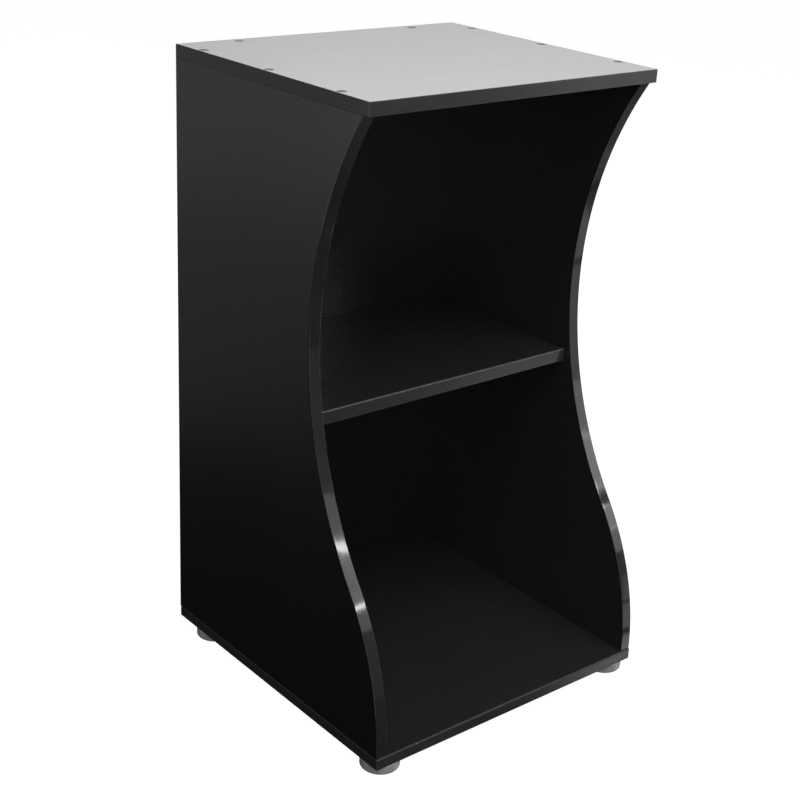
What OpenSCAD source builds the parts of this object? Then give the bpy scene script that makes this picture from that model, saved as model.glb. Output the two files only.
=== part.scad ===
// Open-fronted podium cabinet of edged chipboard boards.
// The top rests on two side boards with an S-curved front edge, and a wider
// base board closes the bottom. A back board ties the sides together, a loose
// shelf lies on pins, and four screw-in levelling feet carry the whole.
// Millimetres. +Z is up, the open front faces -Y, and z = 0 is the floor.

/* [Cabinet] */
// Width over the side boards
cabinet_w = 440; // [400:1:480]
// Depth of the base board, edging included
base_d = 443; // [436:1:460]
// Depth of the top board, edging included
top_d = 378; // [372:1:385]
// Height from the floor to the top face
cabinet_h = 803; // [790:1:815]

/* [Boards] */
// Thickness of the top, the base, the sides and the back
board_t = 16; // [16:0.5:18]
// Thickness of the shelf
shelf_t = 18; // [16:0.5:19]
// Thickness of the edging on the top board and on the rear of the side boards
edge_t = 1; // [0.5:0.5:1.5]
// Thickness of the edging on the base board and on the shelf's front
thick_edge_t = 2; // [1:0.5:2.5]
// Thickness of the edging on the curved front of the side boards
curve_edge_t = 2; // [1:0.5:3]

/* [Front curve] */
// Depth of a side board at its waist
waist_d = 285; // [275:1:300]
// Height of the waist above the floor
waist_z = 513; // [500:1:525]
// Radius of the hollow upper curve
waist_r = 485; // [470:1:510]
// How far the foot of the side board stands behind the base's front edge
side_setback = 2; // [1:0.5:5]

/* [Back and shelf] */
// How far the back board stands in from the rear edges
back_inset = 5; // [2:1:10]
// Height of the shelf's top face above the floor
shelf_z = 419; // [400:1:440]
// How far the shelf's front edge stands forward of the cabinet's middle
shelf_front = 64; // [50:1:66]
// Gap between the shelf and each side board
shelf_gap = 1; // [0.9:0.1:2]

/* [Fasteners] */
// Distance of the outer top screws from the ends of the side boards
screw_end = 50; // [40:1:60]
// Distance of the back board's screws from the middle
back_screw_x = 137.5; // [100:0.5:160]
// Length of a connector screw
screw_l = 50; // [40:5:50]
// Diameter of a screw cap
cap_d = 12; // [10.5:0.5:12]
// Diameter of a wooden dowel
dowel_d = 8; // [6:1:8]
// Diameter of a shelf pin
pin_d = 5; // [4:0.5:6]

/* [Feet] */
// Diameter of a foot pad
foot_d = 50; // [40:1:50]
// Height of a foot pad
foot_h = 13; // [12:0.5:15]
// Distance of a foot's centre from the side face and, in front, from the front face
foot_inset = 25; // [25:1:30]
// Distance of a rear foot's centre from the rear face
rear_foot_inset = 50; // [45:1:60]
// Diameter of a foot's threaded stem
stem_d = 8; // [6:1:8]

/* [Hidden] */
$fn = 96;

BLACK = [0.07, 0.07, 0.075];
EDGE = [0.12, 0.12, 0.13];
LIGHT = [0.76, 0.77, 0.775];
STEEL = [0.7, 0.7, 0.72];
BEECH = [0.8, 0.65, 0.45];
PLASTIC = [0.66, 0.67, 0.67];

hw = cabinet_w / 2;
rear = base_d / 2;                 // common rear plane of top, sides and base
base_z0 = foot_h;
base_z1 = base_z0 + board_t;
top_z0 = cabinet_h - board_t;
side_x = hw - board_t;             // inner face of a side board
side_mid = hw - board_t / 2;
top_front = rear - top_d;

// Front curve: a hollow arc about C1 runs tangent into a bulging arc about C2,
// which stands upright where the side board meets the base.
foot_y = -rear + side_setback;
waist_y = rear - waist_d;
c1 = [waist_y - waist_r, waist_z];
swing = waist_y - foot_y;
rise = waist_z - base_z1;
bulge_r = (swing * swing + rise * rise) / (2 * swing) - waist_r;
c2 = [foot_y + bulge_r, base_z1];
c_dist = waist_r + bulge_r;
// Height where the two arcs meet, for an edge set back by o
function meet_z(o) = c1[1] + (waist_r + o) * (c2[1] - c1[1]) / c_dist;
// Front of the side board at its top end
side_top_front = c1[0] + sqrt(waist_r * waist_r - (top_z0 - waist_z) * (top_z0 - waist_z));

back_y1 = rear - back_inset;
back_y0 = back_y1 - board_t;
back_mid = back_y1 - board_t / 2;

// Connector screw: flat head with hexagon socket, plain neck, then thread
head_d = 10;
neck_d = 7;
thread_d = 6.4;
socket_af = 4;
cap_t = 2.5;

// Screw and dowel places
screw_y_rear = rear - screw_end;
screw_y_front = side_top_front + screw_end;
top_side_y = [screw_y_front, (screw_y_front + screw_y_rear) / 2, screw_y_rear];
top_screw_xy = [
    for (s = [-1, 1]) for (y = top_side_y) [s * side_mid, y],
    for (s = [-1, 1]) [s * back_screw_x, back_mid]
];
base_screw_xy = [
    for (s = [-1, 1]) for (y = [-160, 0, 160]) [s * side_mid, y],
    for (s = [-1, 1]) [s * back_screw_x, back_mid]
];
top_dowel_xy = [
    for (s = [-1, 1]) for (i = [0, 1]) [s * side_mid, (top_side_y[i] + top_side_y[i + 1]) / 2]
];
base_dowel_xy = [for (s = [-1, 1]) for (y = [-80, 80]) [s * side_mid, y]];
back_dowel_z = [110, 300, 500, 690];
dowel_l = 30;
dowel_in = 12;                     // depth of a dowel in the face of a board

// Shelf pins: two in each side board
shelf_y0 = -shelf_front;
shelf_y1 = back_y0 - 1;
shelf_hw = side_x - shelf_gap;
pin_y = [shelf_y0 + 45, shelf_y1 - 45];
pin_z = shelf_z - shelf_t - pin_d / 2;
pin_in = 9;
pin_out = 9;

// Levelling feet
foot_xy = [
    [-hw + foot_inset, -rear + foot_inset], [hw - foot_inset, -rear + foot_inset],
    [-hw + foot_inset, rear - rear_foot_inset], [hw - foot_inset, rear - rear_foot_inset]
];
nut_d = 12;
nut_l = 13;
nut_flange_d = 17;
nut_flange_t = 1.2;
collar_d = 16;
collar_t = 3;
collar_z = foot_h - 5;             // underside of the stem's collar in the pad
run = 0.05;                        // running clearance on a radius

// ---- shared shapes ----

// Area behind the front curve in the Y-Z plane, with the curve set back by o
// and the straight sides let out by e. The bulge's circle reaches a hair into
// the hollow's, so that the two arcs cross cleanly where they meet.
module side_area(o, e) {
    z0 = base_z1 - e;
    z1 = top_z0 + e;
    zm = meet_z(o);
    difference() {
        translate([-rear - 5, z0]) square([2 * rear + 5 + e, z1 - z0]);
        // hollow above the meeting point
        intersection() {
            translate(c1) circle(r = waist_r + o, $fn = 360);
            translate([c1[0], zm - 10]) square([waist_r + 50, z1 - zm + 15]);
        }
        translate([-rear - 10, zm]) square([10 + rear + c1[0] + 0.8 * waist_r, z1 - zm + 5]);
        // bulge below it
        difference() {
            translate([-rear - 10, z0 - 5]) square([rear + 10, zm - z0 + 5]);
            translate(c2) circle(r = bulge_r - o + 0.004, $fn = 360);
        }
    }
}

// Turns an area drawn in the Y-Z plane into a plate of thickness t from x
module plate_yz(x, t) translate([x, 0, 0]) rotate([90, 0, 90]) linear_extrude(t) children();

// Block given by its lowest and highest corner
module block(a, b) translate(a) cube([b[0] - a[0], b[1] - a[1], b[2] - a[2]]);

// Connector screw, head face at z = 0, pointing down
module screw() {
    difference() {
        union() {
            translate([0, 0, -1]) cylinder(d = head_d, h = 1);
            translate([0, 0, -2.5]) cylinder(d1 = neck_d, d2 = head_d, h = 1.5);
            translate([0, 0, -board_t - 2]) cylinder(d = neck_d, h = board_t - 0.5);
            translate([0, 0, -screw_l + 4]) cylinder(d = thread_d, h = screw_l - 4 - board_t - 2);
            translate([0, 0, -screw_l]) cylinder(d1 = 2.5, d2 = thread_d, h = 4);
        }
        translate([0, 0, -3]) cylinder(d = socket_af / cos(30), h = 4, $fn = 6);
    }
}

// The hole that a connector screw fills, head side up
module screw_hole(cap = false) {
    if (cap) cylinder(d = cap_d, h = cap_t + 1);
    else cylinder(d = head_d, h = 1);
    translate([0, 0, -1]) cylinder(d = head_d, h = 1);
    translate([0, 0, -2.5]) cylinder(d1 = neck_d, d2 = head_d, h = 1.5);
    translate([0, 0, -board_t - 2]) cylinder(d = neck_d, h = board_t - 0.5);
    translate([0, 0, -screw_l + 4]) cylinder(d = thread_d, h = screw_l - 4 - board_t - 2);
    translate([0, 0, -screw_l]) cylinder(d1 = 2.5, d2 = thread_d, h = 4);
}

module top_screw_holes() for (p = top_screw_xy) translate([p[0], p[1], cabinet_h - cap_t]) screw_hole(true);
module base_screw_holes() for (p = base_screw_xy) translate([p[0], p[1], base_z0]) mirror([0, 0, 1]) screw_hole();

// Dowel with chamfered ends, standing on z = 0
module dowel() {
    cylinder(d1 = dowel_d - 1.6, d2 = dowel_d, h = 1);
    translate([0, 0, 1]) cylinder(d = dowel_d, h = dowel_l - 2);
    translate([0, 0, dowel_l - 1]) cylinder(d1 = dowel_d, d2 = dowel_d - 1.6, h = 1);
}

module top_dowel_places() for (p = top_dowel_xy) translate([p[0], p[1], top_z0 + dowel_in - dowel_l]) children();
module base_dowel_places() for (p = base_dowel_xy) translate([p[0], p[1], base_z1 - dowel_in]) children();
module back_dowel_places() for (s = [-1, 1]) for (z = back_dowel_z)
    translate([s * (side_x + dowel_in), back_mid, z]) rotate([0, -s * 90, 0]) children();
module dowel_hole() cylinder(d = dowel_d, h = dowel_l);

module pin_places() for (s = [-1, 1]) for (y = pin_y)
    translate([s * side_x, y, pin_z]) rotate([0, -s * 90, 0]) children();

// Board from y0 to the rear plane, let in by e on all four edges for its edging
module edged_box(y0, z0, e) block([-hw + e, y0 + e, z0], [hw - e, rear - e, z0 + board_t]);

// Edging of thickness e round such a board: the front and rear strips run the
// full width, and the left and right strips lie between them.
module front_strip(y0, z0, e) block([-hw, y0, z0], [hw, y0 + e, z0 + board_t]);
module rear_strip(z0, e) block([-hw, rear - e, z0], [hw, rear, z0 + board_t]);
module left_strip(y0, z0, e) block([-hw, y0 + e, z0], [-hw + e, rear - e, z0 + board_t]);
module right_strip(y0, z0, e) block([hw - e, y0 + e, z0], [hw, rear - e, z0 + board_t]);

// ---- top ----

module top_board() color(LIGHT) difference() {
    edged_box(top_front, top_z0, edge_t);
    top_screw_holes();
    top_dowel_places() dowel_hole();
}
module top_front_edging() color(EDGE) front_strip(top_front, top_z0, edge_t);
module top_rear_edging() color(EDGE) rear_strip(top_z0, edge_t);
module top_left_edging() color(EDGE) left_strip(top_front, top_z0, edge_t);
module top_right_edging() color(EDGE) right_strip(top_front, top_z0, edge_t);

// ---- sides ----

module side_board(s) color(BLACK) difference() {
    intersection() {
        plate_yz(s < 0 ? -hw : side_x, board_t) side_area(curve_edge_t, 0);
        block([-hw - 1, -rear - 1, 0], [hw + 1, rear - edge_t, cabinet_h]);
    }
    top_screw_holes();
    base_screw_holes();
    top_dowel_places() dowel_hole();
    base_dowel_places() dowel_hole();
    back_dowel_places() dowel_hole();
    pin_places() translate([0, 0, -pin_in]) cylinder(d = pin_d, h = pin_in + 1);
}
module side_front_edging(s) color(EDGE) plate_yz(s < 0 ? -hw : side_x, board_t) difference() {
    side_area(0, 0);
    side_area(curve_edge_t, 5);
}
module side_rear_edging(s) color(EDGE)
    block([s < 0 ? -hw : side_x, rear - edge_t, base_z1], [s < 0 ? -side_x : hw, rear, top_z0]);

module left_side_board() side_board(-1);
module left_front_edging() side_front_edging(-1);
module left_rear_edging() side_rear_edging(-1);
module right_side_board() side_board(1);
module right_front_edging() side_front_edging(1);
module right_rear_edging() side_rear_edging(1);

// ---- back and shelf ----

module back_board() color(BLACK) difference() {
    block([-side_x, back_y0, base_z1], [side_x, back_y1, top_z0]);
    top_screw_holes();
    base_screw_holes();
    back_dowel_places() dowel_hole();
}
module shelf_board() color(BLACK)
    block([-shelf_hw, shelf_y0 + thick_edge_t, shelf_z - shelf_t], [shelf_hw, shelf_y1, shelf_z]);
module shelf_front_edging() color(EDGE)
    block([-shelf_hw, shelf_y0, shelf_z - shelf_t], [shelf_hw, shelf_y0 + thick_edge_t, shelf_z]);

// ---- base ----

module base_board() color(BLACK) difference() {
    edged_box(-rear, base_z0, thick_edge_t);
    base_screw_holes();
    base_dowel_places() dowel_hole();
    for (p = foot_xy) translate([p[0], p[1], base_z0 - 1]) {
        cylinder(d = nut_d, h = nut_l + 1);
        cylinder(d = nut_flange_d, h = nut_flange_t + 1);
    }
}
module base_front_edging() color(EDGE) front_strip(-rear, base_z0, thick_edge_t);
module base_rear_edging() color(EDGE) rear_strip(base_z0, thick_edge_t);
module base_left_edging() color(EDGE) left_strip(-rear, base_z0, thick_edge_t);
module base_right_edging() color(EDGE) right_strip(-rear, base_z0, thick_edge_t);

// ---- fasteners ----

module top_screws() color(STEEL) for (p = top_screw_xy) translate([p[0], p[1], cabinet_h - cap_t]) screw();
module top_screw_caps() color(EDGE) for (p = top_screw_xy) translate([p[0], p[1], cabinet_h - cap_t]) {
    cylinder(d = cap_d, h = cap_t);
    translate([0, 0, -2]) cylinder(d = socket_af - 0.2, h = 3);
}
module base_screws() color(STEEL) for (p = base_screw_xy) translate([p[0], p[1], base_z0]) mirror([0, 0, 1]) screw();
module top_dowels() color(BEECH) top_dowel_places() dowel();
module base_dowels() color(BEECH) base_dowel_places() dowel();
module back_dowels() color(BEECH) back_dowel_places() dowel();

// Pin with a thin collar against the side board and a domed outer end
module shelf_pins() color(STEEL) pin_places() {
    translate([0, 0, -pin_in + 0.5]) cylinder(d = pin_d, h = pin_in + pin_out - 1.5);
    cylinder(d = pin_d + 2, h = 0.8);
    translate([0, 0, pin_out - 1]) cylinder(d1 = pin_d, d2 = pin_d - 1.6, h = 1);
}

// ---- feet ----

// Threaded insert pressed into the base board from below
module foot_insert_nuts() color(STEEL) for (p = foot_xy) translate([p[0], p[1], base_z0]) difference() {
    union() {
        cylinder(d = nut_d, h = nut_l);
        cylinder(d = nut_flange_d, h = nut_flange_t);
    }
    translate([0, 0, -1]) cylinder(d = stem_d + 2 * run, h = nut_l + 2);
}

// Round pad with a rounded tread and a recess for the stem's collar
module foot_pad(p) color(PLASTIC) translate([p[0], p[1], 0]) difference() {
    rotate_extrude() union() {
        translate([0, 3]) square([foot_d / 2, foot_h - 3]);
        square([foot_d / 2 - 3, foot_h]);
        translate([foot_d / 2 - 3, 3]) circle(r = 3);
    }
    translate([0, 0, collar_z - run]) cylinder(d = collar_d + 2 * run, h = collar_t + 2 * run);
    translate([0, 0, collar_z]) cylinder(d = stem_d + 2 * run, h = foot_h);
}

// Threaded stem with its collar held in the pad
module foot_stem(p) color(STEEL) translate([p[0], p[1], 0]) {
    translate([0, 0, collar_z]) cylinder(d = collar_d, h = collar_t);
    translate([0, 0, collar_z + collar_t]) cylinder(d = stem_d, h = base_z0 + nut_l - 2 - collar_z - collar_t);
    translate([0, 0, base_z0 + nut_l - 2]) cylinder(d1 = stem_d, d2 = stem_d - 2, h = 1);
}

module foot_pad_front_left() foot_pad(foot_xy[0]);
module foot_pad_front_right() foot_pad(foot_xy[1]);
module foot_pad_rear_left() foot_pad(foot_xy[2]);
module foot_pad_rear_right() foot_pad(foot_xy[3]);
module foot_stem_front_left() foot_stem(foot_xy[0]);
module foot_stem_front_right() foot_stem(foot_xy[1]);
module foot_stem_rear_left() foot_stem(foot_xy[2]);
module foot_stem_rear_right() foot_stem(foot_xy[3]);

top_board();
top_front_edging();
top_rear_edging();
top_left_edging();
top_right_edging();
left_side_board();
left_front_edging();
left_rear_edging();
right_side_board();
right_front_edging();
right_rear_edging();
back_board();
shelf_board();
shelf_front_edging();
base_board();
base_front_edging();
base_rear_edging();
base_left_edging();
base_right_edging();
top_screws();
top_screw_caps();
base_screws();
top_dowels();
base_dowels();
back_dowels();
shelf_pins();
foot_insert_nuts();
foot_pad_front_left();
foot_pad_front_right();
foot_pad_rear_left();
foot_pad_rear_right();
foot_stem_front_left();
foot_stem_front_right();
foot_stem_rear_left();
foot_stem_rear_right();
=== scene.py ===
import math

import bmesh
import bpy
from mathutils import Matrix, Vector


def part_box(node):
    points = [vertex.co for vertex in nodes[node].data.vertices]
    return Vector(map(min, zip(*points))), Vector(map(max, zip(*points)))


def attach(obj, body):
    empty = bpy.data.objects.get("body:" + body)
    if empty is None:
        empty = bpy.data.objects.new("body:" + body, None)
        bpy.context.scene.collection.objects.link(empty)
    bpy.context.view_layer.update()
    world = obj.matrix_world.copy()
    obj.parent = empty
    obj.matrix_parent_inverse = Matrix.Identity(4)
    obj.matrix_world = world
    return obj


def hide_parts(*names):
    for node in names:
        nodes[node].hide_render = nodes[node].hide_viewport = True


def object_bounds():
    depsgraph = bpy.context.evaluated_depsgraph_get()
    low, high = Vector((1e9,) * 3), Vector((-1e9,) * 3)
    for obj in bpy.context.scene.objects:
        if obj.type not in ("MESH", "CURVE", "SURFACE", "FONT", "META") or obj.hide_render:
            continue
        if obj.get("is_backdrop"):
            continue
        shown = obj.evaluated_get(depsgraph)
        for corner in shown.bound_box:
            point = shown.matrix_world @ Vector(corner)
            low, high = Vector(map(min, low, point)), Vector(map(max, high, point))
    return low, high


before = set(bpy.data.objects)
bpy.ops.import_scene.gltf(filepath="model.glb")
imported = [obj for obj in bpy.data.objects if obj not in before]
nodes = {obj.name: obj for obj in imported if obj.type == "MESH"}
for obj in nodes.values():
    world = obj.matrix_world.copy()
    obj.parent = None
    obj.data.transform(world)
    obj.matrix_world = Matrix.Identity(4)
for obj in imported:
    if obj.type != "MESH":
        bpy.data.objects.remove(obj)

scene = bpy.context.scene
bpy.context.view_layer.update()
MM = 0.001

# ---------------------------------------------------------------- camera
# The photograph's viewing angle: seen from the front left and above, rolled
# by about three degrees.
AZ, EL, ROLL = math.radians(-40.298), math.radians(22.443), math.radians(2.961)
TARGET = Vector((-0.02565, 0.0, 0.37315))
DIST = 1.94836

back = Vector((math.sin(AZ) * math.cos(EL), -math.cos(AZ) * math.cos(EL), math.sin(EL)))
right = Vector((0, 0, 1)).cross(back).normalized()
up = back.cross(right).normalized()
cam_right = math.cos(ROLL) * right + math.sin(ROLL) * up
cam_up = -math.sin(ROLL) * right + math.cos(ROLL) * up
cam = bpy.data.objects.new("camera", bpy.data.cameras.new("camera"))
scene.collection.objects.link(cam)
cam.data.sensor_width = 36.0
cam.data.lens = 68.293
cam.data.clip_start, cam.data.clip_end = 0.05, 100.0
place = TARGET + back * DIST
cam.matrix_world = Matrix((
    (cam_right.x, cam_up.x, back.x, place.x),
    (cam_right.y, cam_up.y, back.y, place.y),
    (cam_right.z, cam_up.z, back.z, place.z),
    (0, 0, 0, 1),
))
scene.camera = cam


# ---------------------------------------------------------------- materials
class Nodes:
    """A material's node tree with short helpers."""

    def __init__(self, name):
        self.mat = bpy.data.materials.new(name)
        self.mat.use_nodes = True
        self.tree = self.mat.node_tree
        self.tree.nodes.clear()
        self.out = self.add("ShaderNodeOutputMaterial")
        self.bsdf = self.add("ShaderNodeBsdfPrincipled")
        self.link(self.bsdf.outputs["BSDF"], self.out.inputs["Surface"])
        self.coord = self.add("ShaderNodeTexCoord")

    def add(self, kind, **props):
        n = self.tree.nodes.new(kind)
        for k, v in props.items():
            setattr(n, k, v)
        return n

    def link(self, a, b):
        self.tree.links.new(a, b)

    def points(self, scale=(1, 1, 1), offset=(0, 0, 0), rotation=(0, 0, 0)):
        m = self.add("ShaderNodeMapping")
        m.inputs["Location"].default_value = offset
        m.inputs["Rotation"].default_value = rotation
        m.inputs["Scale"].default_value = scale
        self.link(self.coord.outputs["Object"], m.inputs["Vector"])
        return m.outputs["Vector"]

    def noise(self, vector, scale, detail=3.0, rough=0.5, distortion=0.0):
        n = self.add("ShaderNodeTexNoise")
        n.inputs["Scale"].default_value = scale
        n.inputs["Detail"].default_value = detail
        n.inputs["Roughness"].default_value = rough
        n.inputs["Distortion"].default_value = distortion
        self.link(vector, n.inputs["Vector"])
        return n.outputs["Fac"]

    def voronoi(self, vector, scale, feature="F1", randomness=1.0):
        n = self.add("ShaderNodeTexVoronoi", feature=feature)
        n.inputs["Scale"].default_value = scale
        n.inputs["Randomness"].default_value = randomness
        self.link(vector, n.inputs["Vector"])
        return n.outputs["Distance"]

    def spread(self, value, lo, hi, in_lo=0.3, in_hi=0.7):
        n = self.add("ShaderNodeMapRange")
        n.inputs["From Min"].default_value = in_lo
        n.inputs["From Max"].default_value = in_hi
        n.inputs["To Min"].default_value = lo
        n.inputs["To Max"].default_value = hi
        self.link(value, n.inputs["Value"])
        return n.outputs["Result"]

    def math(self, op, a, b=None, clamp=False):
        n = self.add("ShaderNodeMath", operation=op, use_clamp=clamp)
        for i, v in enumerate((a, b)):
            if v is None:
                continue
            if isinstance(v, (int, float)):
                n.inputs[i].default_value = v
            else:
                self.link(v, n.inputs[i])
        return n.outputs["Value"]

    def mix(self, fac, a, b):
        n = self.add("ShaderNodeMix", data_type="RGBA")
        for key, v in (("Factor_Float", fac), ("A_Color", a), ("B_Color", b)):
            socket = next(s for s in n.inputs if s.identifier == key)
            if isinstance(v, (int, float)):
                socket.default_value = v
            elif isinstance(v, (tuple, list)):
                socket.default_value = (*v, 1.0)
            else:
                self.link(v, socket)
        return next(s for s in n.outputs if s.identifier == "Result_Color")

    def scaled(self, colour, factor):
        """A colour times a value that varies over the surface."""
        n = self.add("ShaderNodeVectorMath", operation="SCALE")
        if isinstance(colour, (tuple, list)):
            n.inputs[0].default_value = colour
        else:
            self.link(colour, n.inputs[0])
        self.link(factor, n.inputs["Scale"])
        return n.outputs["Vector"]

    def attribute(self, name):
        n = self.add("ShaderNodeAttribute", attribute_name=name)
        return n.outputs["Fac"]

    def bump(self, height, distance, strength=1.0, after=None):
        n = self.add("ShaderNodeBump")
        n.inputs["Strength"].default_value = strength
        n.inputs["Distance"].default_value = distance
        self.link(height, n.inputs["Height"])
        if after is not None:
            self.link(after, n.inputs["Normal"])
        return n.outputs["Normal"]

    def set(self, **sockets):
        names = {"colour": "Base Color", "rough": "Roughness", "metal": "Metallic",
                 "spec": "Specular IOR Level", "ior": "IOR", "normal": "Normal",
                 "coat": "Coat Weight", "coat_rough": "Coat Roughness"}
        for k, v in sockets.items():
            s = self.bsdf.inputs[names[k]]
            if isinstance(v, (int, float)):
                s.default_value = v
            elif isinstance(v, (tuple, list)):
                s.default_value = (*v, 1.0)
            else:
                self.link(v, s)
        return self.mat


def melamine(name, colour, rough, mottle, fine, seed, spec=0.5, smear=0.012, grain=(1, 1, 1)):
    """Melamine decor on chipboard: an even tone with a faint cloudiness, fine
    specks and a finely pearled surface."""
    m = Nodes(name)
    p = m.points(offset=(seed, 0.37 * seed, 0.11 * seed))
    cloud = m.noise(p, 7.0, 4.0, 0.55)
    blot = m.noise(p, 38.0, 3.0, 0.6, 0.4)
    speck = m.noise(p, 900.0, 2.0, 0.6)
    wipe = m.noise(m.points(scale=grain, offset=(seed, 0, 0)), 9.0, 5.0, 0.6)
    tone = m.math("MULTIPLY", m.spread(cloud, 1 - mottle, 1 + mottle), m.spread(blot, 1 - 0.6 * mottle, 1 + 0.6 * mottle))
    tone = m.math("MULTIPLY", tone, m.spread(speck, 1 - fine, 1 + fine))
    r = m.math("ADD", m.spread(wipe, rough - smear, rough + smear), m.spread(speck, -0.02, 0.02))
    pearl = m.voronoi(p, 1100.0, "SMOOTH_F1")
    grit = m.noise(p, 2600.0, 2.0, 0.5)
    n = m.bump(pearl, 0.00006, 0.30)
    n = m.bump(grit, 0.00003, 0.25, n)
    n = m.bump(m.noise(p, 24.0, 2.0, 0.4), 0.00025, 0.10, n)
    return m.set(colour=m.scaled(colour, tone), rough=r, spec=spec, normal=n)


def edge_band(name, colour, arris_colour_painted_light, rough, along, wave, seed, spec=0.5, streak=0.05, dull=0.0):
    """Plastic edge band: fine lines along its length from rolling and scraping,
    a little orange peel, and rougher arrises where they were trimmed round. The
    arrises take their own colour. Where it is lighter than the band, it is a painted
    highlight line, in part the paling of trimmed plastic. Where it is darker, it is painted shade."""
    m = Nodes(name)
    scale = {"x": (0.02, 1, 1), "y": (1, 0.02, 1), "z": (1, 0.02, 0.02)}[along]
    lines = m.noise(m.points(scale=scale, offset=(seed, 2 * seed, 3 * seed)), 1500.0, 3.0, 0.6)
    p = m.points(offset=(seed, 0, seed))
    cloud = m.noise(p, 22.0, 3.0, 0.6)
    chatter = m.noise(p, 260.0, 2.0, 0.5)
    arris = m.math("MULTIPLY", m.attribute("arris"), m.spread(chatter, 0.55, 1.0))
    tone = m.math("MULTIPLY", m.spread(lines, 1 - streak * 2, 1 + streak * 2), m.spread(cloud, 0.92, 1.08))
    body = m.scaled(colour, tone)
    # The arris colour is mixed in on the rounded arrises. Lighter than the band, it paints a highlight line, in part
    # the paling of trimmed plastic. Darker than the band, it paints shade.
    c = m.mix(arris, body, arris_colour_painted_light)
    r = m.math("ADD", m.spread(lines, rough - streak, rough + streak), m.math("MULTIPLY", arris, 0.10))
    n = m.bump(lines, 0.00002, 0.12)
    n = m.bump(m.noise(p, 420.0, 2.0, 0.5), 0.00004, 0.12, n)
    n = m.bump(m.noise(p, 55.0, 2.0, 0.5), 0.0004, wave, n)
    gleam = m.math("SUBTRACT", spec, m.math("MULTIPLY", arris, dull * spec))
    return m.set(colour=c, rough=r, spec=gleam, normal=n)


def moulded(name, colour, rough, seed, mottle=0.06, scuff=None, metal=0.0):
    """Injection-moulded plastic with a fine spark-eroded texture."""
    m = Nodes(name)
    p = m.points(offset=(seed, seed, 0))
    cloud = m.noise(p, 90.0, 4.0, 0.6, 0.5)
    grit = m.noise(p, 1800.0, 2.0, 0.5)
    tone = m.math("MULTIPLY", m.spread(cloud, 1 - mottle, 1 + mottle), m.spread(grit, 0.97, 1.03))
    c = m.scaled(colour, tone)
    if scuff:
        worn = m.math("MULTIPLY", m.attribute("arris"), m.spread(m.noise(p, 300.0, 4.0, 0.7), 0.0, 1.0, 0.4, 0.6))
        c = m.mix(worn, c, scuff)
    n = m.bump(grit, 0.00004, 0.35)
    return m.set(colour=c, rough=m.spread(cloud, rough - 0.05, rough + 0.05), metal=metal, normal=n)


def zinc(name, colour, rough, seed):
    """Zinc-plated steel: bright metal with a slight spangle and dull patches."""
    m = Nodes(name)
    p = m.points(offset=(seed, 0, seed))
    patch = m.noise(p, 240.0, 4.0, 0.6)
    fine = m.noise(p, 2400.0, 2.0, 0.5)
    c = m.mix(m.spread(patch, 0.0, 1.0), colour, tuple(0.86 * x for x in colour))
    n = m.bump(fine, 0.00002, 0.3)
    return m.set(colour=c, metal=1.0, rough=m.spread(patch, rough - 0.07, rough + 0.09), normal=n)


def beech(name, seed):
    """Plain beech: pale brown with fine darker flecks along the grain."""
    m = Nodes(name)
    p = m.points(scale=(1, 1, 0.12), offset=(seed, 0, 0))
    fleck = m.noise(p, 1500.0, 4.0, 0.7)
    ring = m.noise(p, 210.0, 2.0, 0.5, 1.2)
    c = m.mix(m.spread(ring, 0.0, 1.0), (0.60, 0.40, 0.22), (0.70, 0.51, 0.31))
    c = m.mix(m.spread(fleck, 0.0, 0.55, 0.5, 0.75), c, (0.34, 0.19, 0.09))
    return m.set(colour=c, rough=m.spread(fleck, 0.5, 0.65), normal=m.bump(fleck, 0.00008, 0.4))


# One black decor in three tones. The left side board has the plain tone. The back board and the right side, shelf and
# base boards get lighter copies of it, which are painted light standing in for the light inside the cabinet.
BLACK = (0.0058, 0.0058, 0.0062)
BLACK_BACK_PAINTED_LIGHT = (0.0080, 0.0080, 0.0085)
BLACK_INNER_PAINTED_LIGHT = (0.0140, 0.0140, 0.0147)
M_TOP = melamine("light_board", (0.405, 0.410, 0.420), 0.40, 0.020, 0.020, 3.1, spec=0.4, grain=(1, 0.2, 1))
M_BLACK = melamine("black_board", BLACK, 0.28, 0.05, 0.05, 7.7, spec=0.5, grain=(1, 1, 0.5))
M_BLACK_BACK_PAINTED_LIGHT = melamine("black_board_back_painted_light", BLACK_BACK_PAINTED_LIGHT, 0.28, 0.05, 0.05, 9.4, spec=0.5, grain=(1, 1, 0.5))
M_BLACK_INNER_PAINTED_LIGHT = melamine("black_board_inner_painted_light", BLACK_INNER_PAINTED_LIGHT, 0.28, 0.05, 0.05, 12.3, spec=0.5, grain=(0.5, 1, 1))
# Arris colours paint light and shade along the rounded edges. On the rear, shelf front, side rear, top front, base
# front and curved bands they are lighter than the band: a painted highlight line, in part the paling of trimmed
# plastic. On the left and right bands they are darker than the band: painted shade.
M_EDGE = {
    a: edge_band("edge_band_" + a, (0.023, 0.023, 0.0241), (k, k, 1.04 * k), 0.19, a, 0.05, 1.7 + i, spec=q, dull=d)
    for i, (a, k, q, d) in enumerate((("x", 0.058, 0.5, 0.0), ("y", 0.018, 0.3, 0.45), ("z", 0.030, 0.5, 0.0)))
}
M_EDGE_TOP = edge_band("edge_band_top", (0.025, 0.025, 0.0261), (0.058, 0.058, 0.0603), 0.19, "x", 0.05, 4.6, spec=0.68)
M_EDGE_BASE = edge_band("edge_band_base", (0.023, 0.023, 0.0241), (0.036, 0.036, 0.0374), 0.19, "x", 0.05, 3.3, dull=0.5)
M_GLOSS = edge_band("gloss_edge_band", (0.016, 0.016, 0.0168), (0.018, 0.018, 0.019), 0.085, "z", 0.16, 5.9, streak=0.02)
M_CAP = moulded("cap_plastic", (0.045, 0.045, 0.047), 0.42, 2.3)
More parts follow.
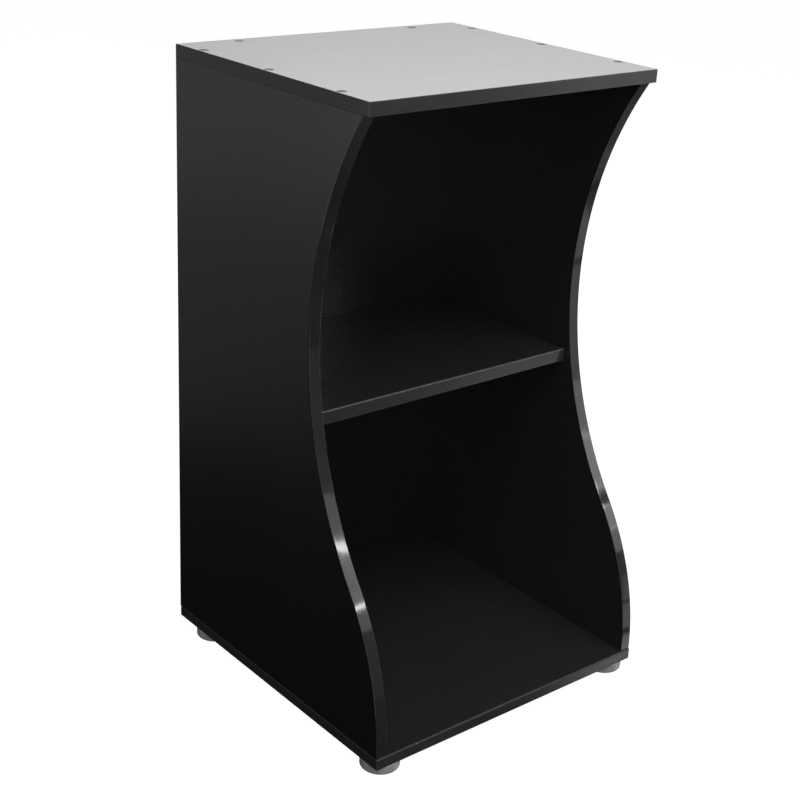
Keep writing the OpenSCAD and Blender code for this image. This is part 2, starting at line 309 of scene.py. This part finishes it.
M_FOOT = moulded("foot_plastic", (0.40, 0.403, 0.408), 0.36, 4.1, mottle=0.10, scuff=(0.22, 0.22, 0.215), metal=0.40)
M_ZINC = zinc("zinc_steel", (0.62, 0.635, 0.65), 0.30, 1.9)
M_BEECH = beech("beech", 0.7)


# ---------------------------------------------------------------- mesh helpers
def finish_piece(name, bm, material, body, replaces=(), smooth=True, weighted=True):
    bmesh.ops.recalc_face_normals(bm, faces=bm.faces)
    mesh = bpy.data.meshes.new(name)
    bm.to_mesh(mesh)
    bm.free()
    mesh.polygons.foreach_set("use_smooth", [smooth] * len(mesh.polygons))
    mesh.materials.append(material)
    ob = bpy.data.objects.new(name, mesh)
    scene.collection.objects.link(ob)
    if weighted:
        w = ob.modifiers.new("normals", "WEIGHTED_NORMAL")
        w.mode = "FACE_AREA"
        w.weight = 80
        w.keep_sharp = False
    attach(ob, body)
    if replaces:
        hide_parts(*replaces)
    return ob


def mark_arris(bm, faces, seen):
    """Marks the middle of each rounding: its vertices, apart from those shared
    with a flat side that is seen."""
    layer = bm.verts.layers.float.get("arris") or bm.verts.layers.float.new("arris")
    rounded = {f for f in faces if f.is_valid}
    bm.normal_update()
    for f in rounded:
        for v in f.verts:
            flat = any(g not in rounded and any(g.normal.dot(d) > 0.99 for d in seen) for g in v.link_faces)
            v[layer] = 0.0 if flat else 1.0


def box_mesh(lo, hi):
    bm = bmesh.new()
    c = [bm.verts.new((x, y, z)) for x in (lo[0], hi[0]) for y in (lo[1], hi[1]) for z in (lo[2], hi[2])]
    for f in ((0, 1, 3, 2), (4, 6, 7, 5), (0, 4, 5, 1), (2, 3, 7, 6), (0, 2, 6, 4), (1, 5, 7, 3)):
        bm.faces.new([c[i] for i in f])
    bm.normal_update()
    return bm


def strip(name, node, outer, ends, r, along, material, body="cabinet", segments=5):
    """Straight edge band in the space of a CAD node. outer is the direction that
    it faces, ends the directions in which its ends are seen. Every arris
    between two seen sides is rounded with radius r."""
    lo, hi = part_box(node)
    bm = box_mesh(lo, hi)
    seen = [Vector(d) for d in (outer, *ends)]
    if abs(Vector(outer).z) < 0.5:
        seen += [Vector((0, 0, 1)), Vector((0, 0, -1))]
    bm.verts.layers.float.new("arris")

    def is_seen(f):
        return any(f.normal.dot(d) > 0.9 for d in seen)

    picked = [e for e in bm.edges if len(e.link_faces) == 2 and all(is_seen(f) for f in e.link_faces)]
    # An arris between the top face and an end face belongs to it only where both are seen.
    made = bmesh.ops.bevel(bm, geom=picked, offset=r, offset_type="OFFSET", segments=segments, profile=0.5, affect="EDGES", clamp_overlap=True)
    mark_arris(bm, made["faces"], seen)
    return finish_piece(name, bm, material, body, (node,))


def lathe(bm, profile, segments, centre=(0, 0, 0), axis="z", arris=None):
    """Closed solid of revolution. profile is (radius, height) from the lowest
    point on the axis to the highest; radius 0 points close it. Returns verts."""
    layer = bm.verts.layers.float.get("arris") or bm.verts.layers.float.new("arris")
    rings = []
    cx, cy, cz = centre

    def at(r, h, a):
        x, y = r * math.cos(a), r * math.sin(a)
        if axis == "z":
            return (cx + x, cy + y, cz + h)
        return (cx + h, cy + x, cz + y)

    for i, (r, h) in enumerate(profile):
        if r < 1e-9:
            v = bm.verts.new(at(0, h, 0))
            rings.append([v])
        else:
            rings.append([bm.verts.new(at(r, h, 2 * math.pi * k / segments)) for k in range(segments)])
        if arris and arris[i]:
            for v in rings[-1]:
                v[layer] = arris[i]
    for a, b in zip(rings, rings[1:]):
        if len(a) == 1 and len(b) == 1:
            continue
        for k in range(segments):
            j = (k + 1) % segments
            if len(a) == 1:
                bm.faces.new((a[0], b[k], b[j]))
            elif len(b) == 1:
                bm.faces.new((a[k], a[j], b[0]))
            else:
                bm.faces.new((a[k], a[j], b[j], b[k]))
    return rings


def arc(cx, cz, r, a0, a1, n):
    """Points of an arc in a profile, angles in degrees from the radius axis."""
    return [(cx + r * math.cos(math.radians(a0 + (a1 - a0) * i / n)), cz + r * math.sin(math.radians(a0 + (a1 - a0) * i / n))) for i in range(n + 1)]


def thread_radius(phase, root, crest):
    """Radius of a thread over one pitch: flat root, flanks, narrow flat crest."""
    f = phase % 1.0
    if f < 0.15:
        t = 0.0
    elif f < 0.48:
        t = (f - 0.15) / 0.33
    elif f < 0.62:
        t = 1.0
    elif f < 0.95:
        t = (0.95 - f) / 0.33
    else:
        t = 0.0
    return root + (crest - root) * t


def threaded_rod(bm, place, z0, z1, root, crest, pitch, below, above, segments=32, step=8):
    """One closed solid: profile points below the thread, a right-hand thread
    from z0 to z1 with run-outs, and profile points above it. place maps a
    point in the rod's own frame to the row frame. below runs from the axis
    outwards and above runs from the outside to the axis."""
    n = max(2, int(round((z1 - z0) / pitch * step)))
    rows = [("ring", r, z) for r, z in below]
    rows += [("thread", None, z0 + (z1 - z0) * i / n) for i in range(n + 1)]
    rows += [("ring", r, z) for r, z in above]
    rings = []
    for kind, r, z in rows:
        if kind == "ring" and r < 1e-9:
            rings.append([bm.verts.new(place(Vector((0, 0, z))))])
            continue
        ring = []
        for k in range(segments):
            a = 2 * math.pi * k / segments
            rr = r
            if kind == "thread":
                rr = thread_radius(z / pitch - a / (2 * math.pi), root, crest)
                run = min(z - z0, z1 - z) / pitch
                rr = root + (rr - root) * max(0.0, min(1.0, run * 1.3))
            ring.append(bm.verts.new(place(Vector((rr * math.cos(a), rr * math.sin(a), z)))))
        rings.append(ring)
    for a, b in zip(rings, rings[1:]):
        for k in range(segments):
            j = (k + 1) % segments
            if len(a) == 1:
                bm.faces.new((a[0], b[k], b[j]))
            elif len(b) == 1:
                bm.faces.new((a[k], a[j], b[0]))
            else:
                bm.faces.new((a[k], a[j], b[j], b[k]))
    return rings


def dress(node, material, bevel=0.0, segments=2, weld=True):
    """A CAD node that stays: its material, a weld of the importer's split
    vertices and a fine broken edge."""
    ob = nodes[node]
    if not ob.material_slots:
        ob.data.materials.append(material)
    for s in ob.material_slots:
        s.link = "OBJECT"
        s.material = material
    if weld:
        w = ob.modifiers.new("weld", "WELD")
        w.merge_threshold = 1e-6
    if bevel:
        b = ob.modifiers.new("arris", "BEVEL")
        b.width = bevel
        b.segments = segments
        b.limit_method = "ANGLE"
        b.angle_limit = math.radians(35)
        b.use_clamp_overlap = True
        n = ob.modifiers.new("normals", "WEIGHTED_NORMAL")
        n.mode = "FACE_AREA"
        n.weight = 80
        n.keep_sharp = False
    return ob


# ---------------------------------------------------------------- boards
# The back board and the right side, shelf and base boards take the lighter copies of the black decor: painted light for
# the inside of the cabinet.
dress("left_side_board", M_BLACK, 0.00022)
dress("back_board", M_BLACK_BACK_PAINTED_LIGHT, 0.00022)
for n in ("right_side_board", "shelf_board", "base_board"):
    dress(n, M_BLACK_INNER_PAINTED_LIGHT, 0.00022)
dress("top_board", M_TOP, 0.00022)

# ---------------------------------------------------------------- straight edge bands
X, Y = (1, 0, 0), (0, 1, 0)
NX, NY = (-1, 0, 0), (0, -1, 0)
THIN, THICK = 0.45 * MM, 1.9 * MM
for board, r in (("top", THIN), ("base", THICK)):
    strip(board + "_front_band", board + "_front_edging", NY, (X, NX), r, "x", M_EDGE_TOP if board == "top" else M_EDGE_BASE)
    strip(board + "_rear_band", board + "_rear_edging", Y, (X, NX), r, "x", M_EDGE["x"])
    strip(board + "_left_band", board + "_left_edging", NX, (), r, "y", M_EDGE["y"])
    strip(board + "_right_band", board + "_right_edging", X, (), r, "y", M_EDGE["y"])
strip("shelf_front_band", "shelf_front_edging", NY, (X, NX), THICK, "x", M_EDGE["x"], body="shelf")


def side_rear_band(name, node):
    """Rear edge band of a side board: its two long vertical arrises are rounded."""
    lo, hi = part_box(node)
    bm = box_mesh(lo, hi)
    bm.verts.layers.float.new("arris")
    picked = [e for e in bm.edges if all(abs(v.co.y - hi.y) < 1e-6 for v in e.verts) and abs(e.verts[0].co.z - e.verts[1].co.z) > 0.1]
    made = bmesh.ops.bevel(bm, geom=picked, offset=THIN, offset_type="OFFSET", segments=5, profile=0.5, affect="EDGES", clamp_overlap=True)
    mark_arris(bm, made["faces"], [Vector((1, 0, 0)), Vector((-1, 0, 0)), Vector((0, 1, 0))])
    finish_piece(name, bm, M_EDGE["z"], "cabinet", (node,))


side_rear_band("left_rear_band", "left_rear_edging")
side_rear_band("right_rear_band", "right_rear_edging")

# ---------------------------------------------------------------- curved edge bands
# The front curve of a side board, as in the CAD: a hollow arc about C1 runs
# tangent into a bulging arc about C2.
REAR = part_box("base_rear_edging")[1].y
BASE_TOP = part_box("base_board")[1].z
TOP_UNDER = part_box("top_board")[0].z
WAIST_D, WAIST_Z, WAIST_R = 285 * MM, 513 * MM, 485 * MM
FOOT_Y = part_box("left_front_edging")[0].y
WAIST_Y = REAR - WAIST_D
C1 = (WAIST_Y - WAIST_R, WAIST_Z)
SWING, RISE = WAIST_Y - FOOT_Y, WAIST_Z - BASE_TOP
BULGE_R = (SWING * SWING + RISE * RISE) / (2 * SWING) - WAIST_R
C2 = (FOOT_Y + BULGE_R, BASE_TOP)


def front_y(z, v):
    """Y of the front curve at height z, at depth v behind its surface."""
    meet = C1[1] + (WAIST_R + v) * (C2[1] - C1[1]) / (WAIST_R + BULGE_R)
    if z > meet:
        return C1[0] + math.sqrt((WAIST_R + v) ** 2 - (z - C1[1]) ** 2)
    return C2[0] - math.sqrt((BULGE_R - v) ** 2 - (z - C2[1]) ** 2)


def curved_band(name, node):
    lo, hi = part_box(node)
    width, deep, r = hi.x - lo.x, 2.0 * MM, 0.7 * MM
    section = [(0.0, deep)]
    section += [(r - r * math.cos(a), r - r * math.sin(a)) for a in [math.radians(90 * i / 5) for i in range(6)]]
    section += [(r + (width - 2 * r) * i / 4, 0.0) for i in range(1, 4)]
    section += [(width - r + r * math.sin(a), r - r * math.cos(a)) for a in [math.radians(90 * i / 5) for i in range(6)]]
    section += [(width, deep)]
    bm = bmesh.new()
    layer = bm.verts.layers.float.new("arris")
    count = 190
    rows = []
    heights = [BASE_TOP + (TOP_UNDER - BASE_TOP) * i / count for i in range(count + 1)]
    # A narrow row at each end keeps the shading flat up to the cut ends.
    heights[1:1] = [BASE_TOP + 0.12 * MM]
    heights[-1:-1] = [TOP_UNDER - 0.12 * MM]
    for z in heights:
        row = []
        for u, v in section:
            p = bm.verts.new((lo.x + u, front_y(z, v), z))
            p[layer] = 1.0 if 0 < v < deep and v > 0.15 * r else 0.0
            row.append(p)
        rows.append(row)
    m = len(section)
    for a, b in zip(rows, rows[1:]):
        for k in range(m):
            bm.faces.new((a[k], a[(k + 1) % m], b[(k + 1) % m], b[k]))
    bm.faces.new(rows[0][::-1])
    bm.faces.new(rows[-1])
    finish_piece(name, bm, M_GLOSS, "cabinet", (node,))


curved_band("left_front_band", "left_front_edging")
curved_band("right_front_band", "right_front_edging")

# ---------------------------------------------------------------- fastener places
lo_l, hi_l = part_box("left_side_board")
lo_r, hi_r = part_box("right_side_board")
SIDE_MID = (lo_r.x + hi_r.x) / 2
TOP_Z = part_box("top_board")[1].z
BACK_MID = (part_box("back_board")[0].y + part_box("back_board")[1].y) / 2
caps_lo, caps_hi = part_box("top_screw_caps")
CAP_R = 6.0 * MM
cap_y0, cap_y1 = caps_lo.y + CAP_R, REAR - 50 * MM
TOP_SCREWS = [(s * SIDE_MID, y) for s in (-1, 1) for y in (cap_y0, (cap_y0 + cap_y1) / 2, cap_y1)]
TOP_SCREWS += [(s * 137.5 * MM, BACK_MID) for s in (-1, 1)]
BASE_SCREWS = [(s * SIDE_MID, y) for s in (-1, 1) for y in (-160 * MM, 0.0, 160 * MM)]
BASE_SCREWS += [(s * 137.5 * MM, BACK_MID) for s in (-1, 1)]

# Screw caps: a low dome pressed into its seat, with a rounded rim and a thin
# shadow gap round it.
bm = bmesh.new()
cap_bottom = caps_lo.z - TOP_Z
profile = [(0, cap_bottom), (1.6 * MM, cap_bottom), (1.9 * MM, cap_bottom + 0.3 * MM), (1.9 * MM, -2.5 * MM), (5.6 * MM, -2.5 * MM), (5.78 * MM, -2.2 * MM), (5.82 * MM, -0.75 * MM)]
profile += arc(5.32 * MM, -0.75 * MM, 0.5 * MM, 0, 62, 5)[1:]
top_r, top_h = profile[-1]
for i in range(1, 7):
    t = 1 - i / 6
    profile.append((top_r * t, -0.02 * MM + (top_h + 0.02 * MM) * t * t))
for x, y in TOP_SCREWS:
    lathe(bm, profile, 48, (x, y, TOP_Z))
finish_piece("top_screw_covers", bm, M_CAP, "cabinet", ("top_screw_caps",))


# Connector screws: flat head with a hexagon socket, plain neck, coarse thread
# and a blunt point.
def hexagon(k, n, across):
    a = 2 * math.pi * k / n
    side = math.pi / 3
    off = (a % side) - side / 2
    return across / 2 / math.cos(off), a


def connector_screw(bm, x, y, z, down):
    """Head face at z, pointing down or up."""
    s = -1.0 if down else 1.0

    def place(p):
        # own frame: the head face at 0 and the point at +length
        return Vector((x + p.x, y + (p.y * (1 if not down else -1)), z + s * p.z))

    n, length = 36, 50 * MM
    hexes = []
    for depth in (2.6 * MM, 0.25 * MM, 0.0):
        ring = []
        for k in range(n):
            r, a = hexagon(k, n, 4.0 * MM if depth > 0 else 4.4 * MM)
            ring.append(bm.verts.new(place(Vector((r * math.cos(a), r * math.sin(a), depth)))))
        hexes.append(ring)
    centre = bm.verts.new(place(Vector((0, 0, 3.0 * MM))))
    rings = [[centre], *hexes]
    shape = [(4.6 * MM, 0.0), (4.92 * MM, 0.1 * MM), (5.0 * MM, 0.35 * MM), (5.0 * MM, 1.0 * MM), (3.5 * MM, 2.5 * MM), (3.5 * MM, 17.4 * MM), (2.4 * MM, 18.4 * MM)]
    for r, h in shape:
        rings.append([bm.verts.new(place(Vector((r * math.cos(2 * math.pi * k / n), r * math.sin(2 * math.pi * k / n), h)))) for k in range(n)])
    z0, z1, pitch = 18.6 * MM, 47.6 * MM, 3.0 * MM
    steps = int((z1 - z0) / pitch * 12)
    for i in range(steps + 1):
        h = z0 + (z1 - z0) * i / steps
        ring = []
        for k in range(n):
            a = 2 * math.pi * k / n
            r = thread_radius(h / pitch - a / (2 * math.pi), 2.35 * MM, 3.2 * MM)
            run = min(h - z0, z1 - h) / pitch
            r = 2.35 * MM + (r - 2.35 * MM) * max(0.0, min(1.0, run * 1.2))
            ring.append(bm.verts.new(place(Vector((r * math.cos(a), r * math.sin(a), h)))))
        rings.append(ring)
    rings.append([bm.verts.new(place(Vector((1.25 * MM * math.cos(2 * math.pi * k / n), 1.25 * MM * math.sin(2 * math.pi * k / n), length)))) for k in range(n)])
    rings.append([bm.verts.new(place(Vector((0, 0, length))))])
    for a, b in zip(rings, rings[1:]):
        for k in range(n):
            j = (k + 1) % n
            if len(a) == 1:
                bm.faces.new((a[0], b[k], b[j]))
            elif len(b) == 1:
                bm.faces.new((a[k], a[j], b[0]))
            else:
                bm.faces.new((a[k], a[j], b[j], b[k]))


bm = bmesh.new()
for x, y in TOP_SCREWS:
    connector_screw(bm, x, y, TOP_Z - 2.5 * MM, True)
finish_piece("top_connector_screws", bm, M_ZINC, "cabinet", ("top_screws",))
bm = bmesh.new()
base_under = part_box("base_board")[0].z
for x, y in BASE_SCREWS:
    connector_screw(bm, x, y, base_under, False)
finish_piece("base_connector_screws", bm, M_ZINC, "cabinet", ("base_screws",))


# Fluted dowels
def fluted_dowel(bm, start, along, length):
    along = Vector(along)
    side = along.cross(Vector((0.3, 1, 0.2))).normalized()
    other = along.cross(side)
    start = Vector(start)
    n = 72
    rings = []
    for h, r in ((0.0, 3.2), (1.0, 3.98), (2.0, 3.98), (length / MM - 2.0, 3.98), (length / MM - 1.0, 3.98), (length / MM, 3.2)):
        ring = []
        for k in range(n):
            a = 2 * math.pi * k / n
            depth = 0.22 if (k % 3) == 0 and 0.5 < h < length / MM - 0.5 else 0.0
            ring.append(bm.verts.new(start + along * (h * MM) + (side * math.cos(a) + other * math.sin(a)) * ((r - depth) * MM)))
        rings.append(ring)
    for a, b in zip(rings, rings[1:]):
        for k in range(n):
            j = (k + 1) % n
            bm.faces.new((a[k], a[j], b[j], b[k]))
    bm.faces.new(rings[0][::-1])
    bm.faces.new(rings[-1])


L = 30 * MM
for name, node in (("top_fluted_dowels", "top_dowels"), ("base_fluted_dowels", "base_dowels")):
    lo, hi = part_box(node)
    bm = bmesh.new()
    for x in (-SIDE_MID, SIDE_MID):
        for y in (lo.y + 4 * MM, hi.y - 4 * MM):
            fluted_dowel(bm, (x, y, lo.z), (0, 0, 1), L)
    finish_piece(name, bm, M_BEECH, "cabinet", (node,))
lo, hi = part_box("back_dowels")
bm = bmesh.new()
for z in (lo.z + 4 * MM, 300 * MM, 500 * MM, hi.z - 4 * MM):
    fluted_dowel(bm, (lo.x, BACK_MID, z), (1, 0, 0), L)
    fluted_dowel(bm, (hi.x, BACK_MID, z), (-1, 0, 0), L)
finish_piece("back_fluted_dowels", bm, M_BEECH, "cabinet", ("back_dowels",))

# Shelf pins: turned steel with a collar and a domed end
lo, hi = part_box("shelf_pins")
pin_r = 2.5 * MM
inner = lo_r.x
tip = 9 * MM
pin_y = (lo.y + 3.5 * MM, hi.y - 3.5 * MM)
pin_z = (lo.z + hi.z) / 2
seat = hi.x - inner
profile = [(0, -seat), (1.9 * MM, -seat), (2.45 * MM, -seat + 0.6 * MM), (2.45 * MM, -0.02 * MM), (3.1 * MM, 0.0), (3.4 * MM, 0.12 * MM), (3.48 * MM, 0.3 * MM), (3.4 * MM, 0.62 * MM), (3.1 * MM, 0.78 * MM), (2.7 * MM, 0.8 * MM), (pin_r, 0.95 * MM), (pin_r, tip - 1.0 * MM)]
profile += [(1.5 * MM + 1.0 * MM * math.cos(math.radians(a)), tip - 1.0 * MM + 1.0 * MM * math.sin(math.radians(a))) for a in (18, 36, 54, 72, 90)]
profile += [(0, tip)]
bm = bmesh.new()
for y in pin_y:
    # own height axis towards the middle of the cabinet
    lathe(bm, profile, 40, (-inner, y, pin_z), "x")
    lathe(bm, [(r, -h) for r, h in profile], 40, (inner, y, pin_z), "x")
finish_piece("shelf_support_pins", bm, M_ZINC, "cabinet", ("shelf_pins",))

dress("foot_insert_nuts", M_ZINC, 0.0002)

# ---------------------------------------------------------------- levelling feet
PAD_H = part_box("foot_pad_front_left")[1].z
for corner in ("front_left", "front_right", "rear_left", "rear_right"):
    lo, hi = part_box("foot_pad_" + corner)
    cx, cy = (lo.x + hi.x) / 2, (lo.y + hi.y) / 2
    R = (hi.x - lo.x) / 2
    # Tread: a shallow middle recess and two anti-slip grooves; the side is
    # upright with a fine mould line, rounded under and over.
    pts = [(0, 1.0), (6.5, 1.0), (7.3, 0.75), (7.8, 0.3), (8.3, 0.06), (8.9, 0.0), (13.0, 0.0), (13.3, 0.1), (13.5, 0.5), (14.3, 0.5), (14.5, 0.1), (14.8, 0.0), (18.0, 0.0), (18.3, 0.1), (18.5, 0.5), (19.3, 0.5), (19.5, 0.1), (19.8, 0.0)]
    marks = [0.0] * len(pts)
    edge = arc(R / MM - 3.1, 3.0, 3.0, -90, 0, 8)
    pts += edge
    marks += [1.0] * 5 + [0.4] * 4
    side = [(R / MM - 0.1, 5.6), (R / MM - 0.02, 5.75), (R / MM - 0.02, 5.95), (R / MM - 0.1, 6.1)]
    over = arc(R / MM - 1.1, PAD_H / MM - 1.0, 1.0, 0, 90, 5)
    pts += side + over
    marks += [0.0] * (len(side) + len(over))
    inside = [(10.5, PAD_H / MM), (10.0, PAD_H / MM - 0.25), (4.5, PAD_H / MM - 0.25), (4.1, PAD_H / MM - 0.6), (4.1, PAD_H / MM - 1.94), (8.06, PAD_H / MM - 1.94), (8.06, PAD_H / MM - 5.06), (0, PAD_H / MM - 5.06)]
    pts += inside
    marks += [0.0] * len(inside)
    bm = bmesh.new()
    lathe(bm, [(r * MM, h * MM) for r, h in pts], 96, (cx, cy, 0.0), arris=marks)
    finish_piece("foot_" + corner, bm, M_FOOT, "foot_" + corner, ("foot_pad_" + corner,))

    slo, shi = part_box("foot_stem_" + corner)
    z0, z1 = slo.z, shi.z
    bm = bmesh.new()

    def at(p, cx=cx, cy=cy):
        return Vector((cx + p.x, cy + p.y, p.z))

    threaded_rod(
        bm, at, z0 + 3.0 * MM + 0.2 * MM, z1 - 0.9 * MM, 3.3 * MM, 4.0 * MM, 1.25 * MM,
        below=[(0, z0), (7.4 * MM, z0), (7.85 * MM, z0 + 0.15 * MM), (8.0 * MM, z0 + 0.5 * MM), (8.0 * MM, z0 + 2.5 * MM), (7.85 * MM, z0 + 2.85 * MM), (7.4 * MM, z0 + 3.0 * MM), (3.6 * MM, z0 + 3.0 * MM), (3.3 * MM, z0 + 3.15 * MM)],
        above=[(3.1 * MM, z1 - 0.4 * MM), (2.7 * MM, z1), (0, z1)],
        segments=40, step=10,
    )
    finish_piece("stem_" + corner, bm, M_ZINC, "stem_" + corner, ("foot_stem_" + corner,))

# ---------------------------------------------------------------- stage and light
bm = bmesh.new()
S = 40.0
bm.faces.new([bm.verts.new(p) for p in ((-S, -S, 0), (S, -S, 0), (S, S, 0), (-S, S, 0))])
mesh = bpy.data.meshes.new("floor")
bm.to_mesh(mesh)
bm.free()
floor = bpy.data.objects.new("floor", mesh)
scene.collection.objects.link(floor)
m = Nodes("floor")
pale = m.noise(m.points(), 0.8, 2.0, 0.5)
m.set(colour=m.scaled((0.14, 0.14, 0.14), m.spread(pale, 0.995, 1.005)), rough=0.9, spec=0.0)
clear = m.add("ShaderNodeBsdfTransparent")
facing = m.add("ShaderNodeNewGeometry")
choose = m.add("ShaderNodeMixShader")
m.link(facing.outputs["Backfacing"], choose.inputs[0])
glow = m.add("ShaderNodeEmission")
glow.inputs["Strength"].default_value = 0.985
both = m.add("ShaderNodeAddShader")
m.link(m.bsdf.outputs["BSDF"], both.inputs[0])
m.link(glow.outputs["Emission"], both.inputs[1])
m.link(both.outputs["Shader"], choose.inputs[1])
m.mat.cycles.emission_sampling = "NONE"
m.link(clear.outputs["BSDF"], choose.inputs[2])
m.link(choose.outputs["Shader"], m.out.inputs["Surface"])
mesh.materials.append(m.mat)
floor.visible_diffuse = False
floor.visible_glossy = False
floor.visible_shadow = False
floor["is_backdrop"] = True

# Soft surroundings: dim and even down to well below the horizon and a little
# brighter straight below, with a brighter side to the right that falls off below the horizon.
world = bpy.data.worlds.new("studio")
scene.world = world
world.use_nodes = True
t = world.node_tree
t.nodes.clear()
coord = t.nodes.new("ShaderNodeTexCoord")
axes = t.nodes.new("ShaderNodeSeparateXYZ")
t.links.new(coord.outputs["Generated"], axes.inputs["Vector"])
height = t.nodes.new("ShaderNodeMapRange")
height.inputs["From Min"].default_value = -1.0
height.inputs["From Max"].default_value = 1.0
t.links.new(axes.outputs["Z"], height.inputs["Value"])


def by_height(stops):
    """Radiance against elevation in degrees."""
    r = t.nodes.new("ShaderNodeValToRGB")
    t.links.new(height.outputs["Result"], r.inputs["Fac"])
    stops = [((math.sin(math.radians(e)) + 1) / 2, v) for e, v in stops]
    els = r.color_ramp.elements
    els[0].position, els[0].color = stops[0][0], (stops[0][1],) * 3 + (1,)
    els[1].position, els[1].color = stops[-1][0], (stops[-1][1],) * 3 + (1,)
    for pos, v in stops[1:-1]:
        els.new(pos).color = (v, v, v, 1)
    return r.outputs["Color"]


def towards(az, lo, hi):
    """From 0 to 1 as a direction's azimuth comes near az: lo and hi are cosines."""
    flat = t.nodes.new("ShaderNodeVectorMath")
    flat.operation = "MULTIPLY"
    flat.inputs[1].default_value = (1, 1, 0)
    t.links.new(coord.outputs["Generated"], flat.inputs[0])
    unit = t.nodes.new("ShaderNodeVectorMath")
    unit.operation = "NORMALIZE"
    t.links.new(flat.outputs["Vector"], unit.inputs[0])
    dot = t.nodes.new("ShaderNodeVectorMath")
    dot.operation = "DOT_PRODUCT"
    dot.inputs[1].default_value = (math.sin(math.radians(az)), -math.cos(math.radians(az)), 0)
    t.links.new(unit.outputs["Vector"], dot.inputs[0])
    step = t.nodes.new("ShaderNodeMapRange")
    step.interpolation_type = "SMOOTHSTEP"
    step.inputs["From Min"].default_value = lo
    step.inputs["From Max"].default_value = hi
    t.links.new(dot.outputs["Value"], step.inputs["Value"])
    return step.outputs["Result"]


def blend_sky(weight, under, over):
    n = t.nodes.new("ShaderNodeMix")
    n.data_type = "RGBA"
    for key, v in (("Factor_Float", weight), ("A_Color", under), ("B_Color", over)):
        t.links.new(v, next(q for q in n.inputs if q.identifier == key))
    return next(q for q in n.outputs if q.identifier == "Result_Color")


sky = by_height([(-90, 0.04), (-50, 0.01), (0, 0.01), (90, 0.01)])
sky = blend_sky(towards(110, 0.55, 0.90), sky, by_height([(-90, 0.08), (-20, 0.20), (10, 0.35), (40, 0.1), (90, 0.02)]))
soft = t.nodes.new("ShaderNodeBackground")
t.links.new(sky, soft.inputs["Color"])
plain = t.nodes.new("ShaderNodeBackground")
plain.inputs["Color"].default_value = (0.985, 0.985, 0.985, 1)
path = t.nodes.new("ShaderNodeLightPath")
pick = t.nodes.new("ShaderNodeMixShader")
t.links.new(path.outputs["Is Camera Ray"], pick.inputs[0])
t.links.new(soft.outputs["Background"], pick.inputs[1])
t.links.new(plain.outputs["Background"], pick.inputs[2])
wout = t.nodes.new("ShaderNodeOutputWorld")
t.links.new(pick.outputs["Shader"], wout.inputs["Surface"])


def softbox(name, direction, distance, size, size_y, radiance, aim=(0, 0, 0.4)):
    """Rectangular area light that gives the wanted radiance, aimed at a point."""
    aim = Vector(aim)
    d = Vector(direction).normalized()
    light = bpy.data.lights.new(name, "AREA")
    light.shape = "RECTANGLE"
    light.size, light.size_y = size, size_y
    light.energy = radiance * size * size_y * math.pi
    ob = bpy.data.objects.new(name, light)
    ob.location = aim + d * distance
    ob.rotation_mode = "QUATERNION"
    ob.rotation_quaternion = d.to_track_quat("Z", "Y")
    scene.collection.objects.link(ob)
    ob.visible_camera = False
    return ob


def direction(az, el):
    a, e = math.radians(az), math.radians(el)
    return (math.sin(a) * math.cos(e), -math.cos(a) * math.cos(e), math.sin(e))


# Studio lights round the object, three metres away: name, azimuth and
# elevation, width and height in degrees, radiance.
FAR = 3.0
LIGHTS = [
    ("overhead", 0, 72, 34, 34, 5.74),
    ("top_rear_right", 135, 45, 38, 26, 2.68),
    ("top_front_left", -45, 45, 38, 26, 1.62),
    ("top_front", 0, 45, 38, 26, 1.65),
    ("front_left", -30, 20, 28, 22, 3.56),
    ("front_left_low", -30, 0, 28, 18, 1.67),
    ("front_left_floor", -30, -16, 28, 14, 1.77),
    ("left", -120, 0, 28, 18, 1.59),
    ("left_floor", -120, -16, 28, 14, 0.19),
    ("rear_left", -150, 0, 28, 18, 0.39),
    ("rear_left_floor", -150, -16, 28, 14, 0.17),
    ("rear", -180, 0, 28, 18, 0.32),
    ("right", 90, 0, 28, 18, 5.40),
    ("right_floor", 90, -16, 28, 14, 5.34),
    ("panel_high", 46, 26, 20, 9, 1.9),
    ("inner_panel_high", 32, 22, 12, 9, 2.4),
    ("inner_floor", 28, -8, 9, 18, 0.15),
    ("panel", 48.5, 14, 13, 9, 2.9),
    ("panel_low", 48.5, 6, 13, 9, 1.8),
    ("panel_floor_1", 49.5, -3, 11, 9, 0.72),
    ("panel_floor_2", 49, -12, 12, 9, 0.75),
    ("panel_floor_3", 49, -22, 12, 9, 0.85),
    ("panel_floor_4", 52, -33, 10, 9, 1.3),
    ("inner_panel", 30, 14, 10, 9, 1.33),
    ("inner_panel_low", 30, 6, 10, 9, 0.19),
    ("middle_floor_1", 40, -3, 10, 9, 0.15),
    ("middle_floor_2", 40, -12, 8, 9, 0.12),
    ("middle_floor_3", 40, -22, 10, 9, 0.08),
    ("outer_floor_1", 60, -22, 10, 9, 0.15),
    ("outer_floor_2", 60, -32, 10, 9, 0.27),
    ("outer_floor_3", 70, -32, 10, 9, 0.14),
    ("outer_floor_4", 70, -42, 10, 9, 0.61),
]
for name, az, el, wide, high, radiance in LIGHTS:
    softbox(name, direction(az, el), FAR, 2 * FAR * math.tan(math.radians(wide / 2)), 2 * FAR * math.tan(math.radians(high / 2)), radiance)
# A long narrow strip that the glossy curved edge bands pick up as two spots each.
softbox("strip", direction(37.8, 22.0), FAR, 1.15, 0.075, 20.0, aim=(0.0, -0.14, 0.28))
softbox("from_below", (0.0, -0.2, -1.0), 2.0, 2.5, 2.5, 0.08)

scene.view_settings.view_transform = "Standard"
scene.view_settings.look = "None"

bpy.context.view_layer.update()
lo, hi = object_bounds()
